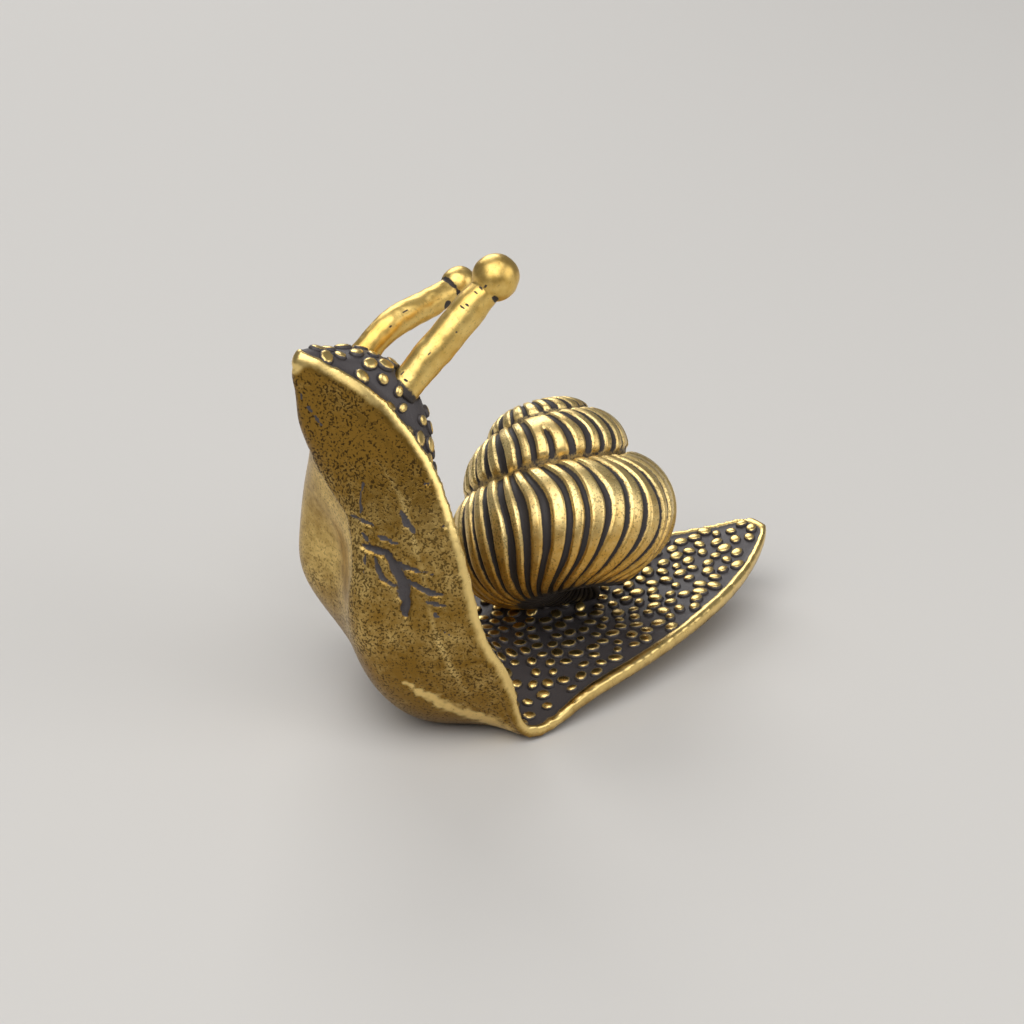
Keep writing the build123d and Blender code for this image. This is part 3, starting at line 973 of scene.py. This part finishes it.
    # Painted light: the tone is lifted towards the top of the tube and lowered beneath it, as if lit from
    # above
    kept = store(tree, pitted, "shine", angle.ramp(*TOP_PAINTED_LIGHT) - 0.3)
    wound = add_node(tree, "GeometryNodeSetPosition", {"Geometry": kept, "Position": point.outputs[0]})
    weld = {"Geometry": wound.outputs[0], "Distance": SHELL_WELD}
    closed = add_node(tree, "GeometryNodeMergeByDistance", weld)
    left = 1 - (LAST_TURN / TURNS_TO_POINT) ** TURN_POWER
    rise = given("Tube Radius") * SPIRE_RISE_SHARE * (1 - left**CLIMB_POWER)
    apex = {"Segments": APEX_SEGMENTS, "Rings": APEX_RINGS, "Radius": given("Apex Radius")}
    dome = add_node(tree, "GeometryNodeMeshUVSphere", apex)
    raised = add_node(
        tree,
        "GeometryNodeTransform",
        {
            "Geometry": store(tree, dome.outputs[0], "rub_and_shade", APEX_RUB),
            "Translation": add_node(tree, "ShaderNodeCombineXYZ", {2: rise}).outputs[0],
        },
    )
    whole = tree.nodes.new("GeometryNodeJoinGeometry")
    tree.links.new(raised.outputs[0], whole.inputs[0])
    tree.links.new(closed.outputs[0], whole.inputs[0])
    set_down = add_node(
        tree,
        "GeometryNodeTransform",
        {
            "Geometry": whole.outputs[0],
            "Translation": source.outputs["Place"],
            "Rotation": source.outputs["Turned"],
        },
    )
    finish_tree(tree, set_down.outputs[0], shell_brass, target)
    return tree


def make_shell():
    """Shell, wound in its own frame and set down on the foot."""
    shell = new_object("snail_shell", bpy.data.meshes.new("snail_shell"))
    place, turned = shell_placing()
    run_tree(shell, shell_tree(), {"Place": place, "Turned": turned})
    face_outwards(shell.data)
    return shell


def face_outwards(mesh):
    """Turns every face of a closed mesh outwards."""
    joined = bmesh.new()
    joined.from_mesh(mesh)
    bmesh.ops.recalc_face_normals(joined, faces=joined.faces)
    joined.to_mesh(mesh)
    joined.free()


# Eye stalks
def smooth_route(points, count):
    """Points of a smooth curve through the given ones, evenly placed along it."""
    points = np.array(points)
    ends = np.vstack([2 * points[0] - points[1], points, 2 * points[-1] - points[-2]])
    fine = []
    for a, b, c, d in zip(ends, ends[1:], ends[2:], ends[3:]):
        for t in np.linspace(0, 1, 40, endpoint=False):
            bent = 2 * b + (c - a) * t + (2 * a - 5 * b + 4 * c - d) * t**2
            fine.append(0.5 * (bent + (3 * b - a - 3 * c + d) * t**3))
    fine.append(points[-1])
    fine = np.array(fine)
    along = np.concatenate([[0], np.cumsum(np.linalg.norm(np.diff(fine, axis=0), axis=1))])
    even = np.linspace(0, along[-1], count)
    return np.stack([np.interp(even, along, fine[:, k]) for k in range(3)], 1), along[-1]


def stalk_route(stalk):
    """Points that a stalk's middle goes through, from just inside the head to the end of its ball."""
    turn = math.radians(stalk["turn"])
    reach = NOD_RADIUS - stalk["depth"] * SOLE_RADIUS
    base = np.array(
        (NOD_X + reach * math.cos(turn), stalk["side"] * STALK_SPACING / 2, NOD_Z + reach * math.sin(turn))
    )
    way = [
        base + np.array((stalk["reach"] * a, stalk["side"] * STALK_SPLAY * a, stalk["rise"] * b))
        for a, b in stalk["route"]
    ]
    start = (way[1] - way[0]) / np.linalg.norm(way[1] - way[0])
    finish = (way[-1] - way[-2]) / np.linalg.norm(way[-1] - way[-2])
    return [way[0] - start * STALK_ROOT, *way, way[-1] + finish * stalk["ball"]]


def make_stalk(name, stalk):
    """Tapered stalk that swells a little, narrows under its ball and spreads where it joins the head."""
    ball = stalk["ball"]
    root = STALK_ROOT
    rings, sides = STALK_RINGS, STALK_SIDES
    line, length = smooth_route(stalk_route(stalk), rings)
    along = np.linspace(0, length, rings)
    middle = length - ball
    round_end = np.sqrt(np.clip(ball**2 - (along - middle) ** 2, 0, None))
    taper = np.interp((along - root) / (middle - root), *zip(*STALK_TAPER_SHARES))
    girth = np.where(along < middle, np.maximum(taper * stalk["radius"], round_end), round_end)
    neck = along[np.argmax(round_end > taper * stalk["radius"])]
    tangent = np.gradient(line, axis=0)
    tangent /= np.linalg.norm(tangent, axis=1)[:, None]
    side = np.cross(tangent, (0, 1, 0))
    side /= np.linalg.norm(side, axis=1)[:, None]
    other = np.cross(tangent, side)
    turns = np.linspace(0, 2 * math.pi, sides, endpoint=False)
    spokes = np.cos(turns)[None, :, None] * side[:, None] + np.sin(turns)[None, :, None] * other[:, None]
    points = (line[:, None] + spokes * girth[:, None, None]).reshape(-1, 3)
    dents = sum(lumps(points, size) * depth for size, depth in DENTS)
    dented = smoothstep(0, DENT_GIRTH, girth) * smoothstep(0, DENT_END, length - along)
    inside = np.repeat(dented, sides)
    points -= spokes.reshape(-1, 3) * (DENT_SINK + dents)[:, None] * inside[:, None]
    faces = []
    for ring in range(rings - 1):
        for k in range(sides):
            low, high = ring * sides, (ring + 1) * sides
            faces.append((low + k, low + (k + 1) % sides, high + (k + 1) % sides, high + k))
    faces.append(tuple(range(sides))[::-1])
    faces.append(tuple(range((rings - 1) * sides, rings * sides)))
    mesh = bpy.data.meshes.new(name)
    mesh.from_pydata([tuple(p) for p in points], [], faces)
    patches = lumps(points, PATCH_LUMP)
    from_neck = np.repeat(np.abs(along - neck), sides)
    from_root = np.repeat(along - root, sides)
    broken = smoothstep(-0.2, 0.2, lumps(points, CREASE_LUMP))
    crease = (1 - smoothstep(*CREASE_REACH, from_neck)) * broken
    nicks = np.zeros(len(points))
    around = np.tile(np.degrees(turns), rings)
    for share, turned, half_length, half_width in stalk["nicks"]:
        off = (from_root - share * (middle - root)) / (half_length * MM)
        aside = (around - turned) * math.radians(1) * stalk["radius"] / (half_width * MM)
        nicks = np.maximum(nicks, 1 - smoothstep(0.5, 1.2, np.hypot(off, aside)))
    dark_root = 1 - smoothstep(*ROOT_REACH, from_root + patches * PATCH_REACH)
    set_values(mesh, "rub_and_shade", 1 - np.maximum.reduce((crease * 0.9, nicks, dark_root)))
    set_values(mesh, "pits", np.full(len(points), STALK_PITS))
    joined = bmesh.new()
    joined.from_mesh(mesh)
    bmesh.ops.remove_doubles(joined, verts=joined.verts, dist=STALK_WELD)
    bmesh.ops.recalc_face_normals(joined, faces=joined.faces)
    joined.to_mesh(mesh)
    joined.free()
    mesh.polygons.foreach_set("use_smooth", [True] * len(mesh.polygons))
    mesh.materials.append(stalk_brass)
    return new_object(name, mesh)


foot = make_foot()
shell = make_shell()
left_stalk = make_stalk("snail_left_eye_stalk", LEFT_STALK)
right_stalk = make_stalk("snail_right_eye_stalk", RIGHT_STALK)
for piece, node, slot in (
    (foot, "foot_and_head", "antique_brass"),
    (shell, "shell", "shell_brass"),
    (left_stalk, "left_eye_stalk", "polished_brass"),
    (right_stalk, "right_eye_stalk", "polished_brass"),
):
    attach(piece, "root")
    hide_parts(node)


# Floor, light and camera
def make_floor():
    """Plain pale floor under the snail."""
    half = FLOOR_HALF
    mesh = bpy.data.meshes.new("floor")
    corners = [(-half, -half, 0), (half, -half, 0), (half, half, 0), (-half, half, 0)]
    mesh.from_pydata(corners, [], [(0, 1, 2, 3)])
    material = bpy.data.materials.new("pale floor")
    material.use_nodes = True
    shader = material.node_tree.nodes["Principled BSDF"]
    shader.inputs["Base Color"].default_value = FLOOR_COLOUR
    shader.inputs["Roughness"].default_value = FLOOR_ROUGHNESS
    mesh.materials.append(material)
    floor = new_object("floor", mesh)


def make_lamp(name, place, size, power):
    """Soft square lamp aimed at the snail."""
    lamp = bpy.data.lights.new(name, "AREA")
    lamp.size = size
    lamp.energy = power
    obj = new_object(name, lamp)
    obj.location = place
    aim = Vector(LAMP_AIM) - Vector(place)
    obj.rotation_euler = aim.to_track_quat("-Z", "Y").to_euler()


def make_camera():
    """Camera that looks down on the snail's left side from in front."""
    camera = bpy.data.cameras.new("camera")
    camera.lens = CAMERA_LENS
    camera.sensor_width = CAMERA_SENSOR
    camera.clip_start = CAMERA_NEAR
    obj = new_object("camera", camera)
    back = Vector(
        (
            math.sin(CAMERA_AZIMUTH) * math.cos(CAMERA_ELEVATION),
            -math.cos(CAMERA_AZIMUTH) * math.cos(CAMERA_ELEVATION),
            math.sin(CAMERA_ELEVATION),
        )
    )
    obj.location = CAMERA_TARGET + back * CAMERA_DISTANCE
    obj.rotation_euler = (-back).to_track_quat("-Z", "Y").to_euler()
    bpy.context.scene.camera = obj


def set_world():
    """Even light from all round."""
    world = bpy.data.worlds.new("studio")
    world.use_nodes = True
    background = world.node_tree.nodes["Background"]
    background.inputs["Color"].default_value = WORLD_COLOUR
    background.inputs["Strength"].default_value = WORLD_STRENGTH
    bpy.context.scene.world = world


make_floor()
for lamp_name, lamp_place, lamp_size, lamp_power in LAMPS:
    make_lamp(lamp_name, lamp_place, lamp_size, lamp_power)
make_camera()
set_world()
bpy.context.scene.view_settings.view_transform = "Standard"
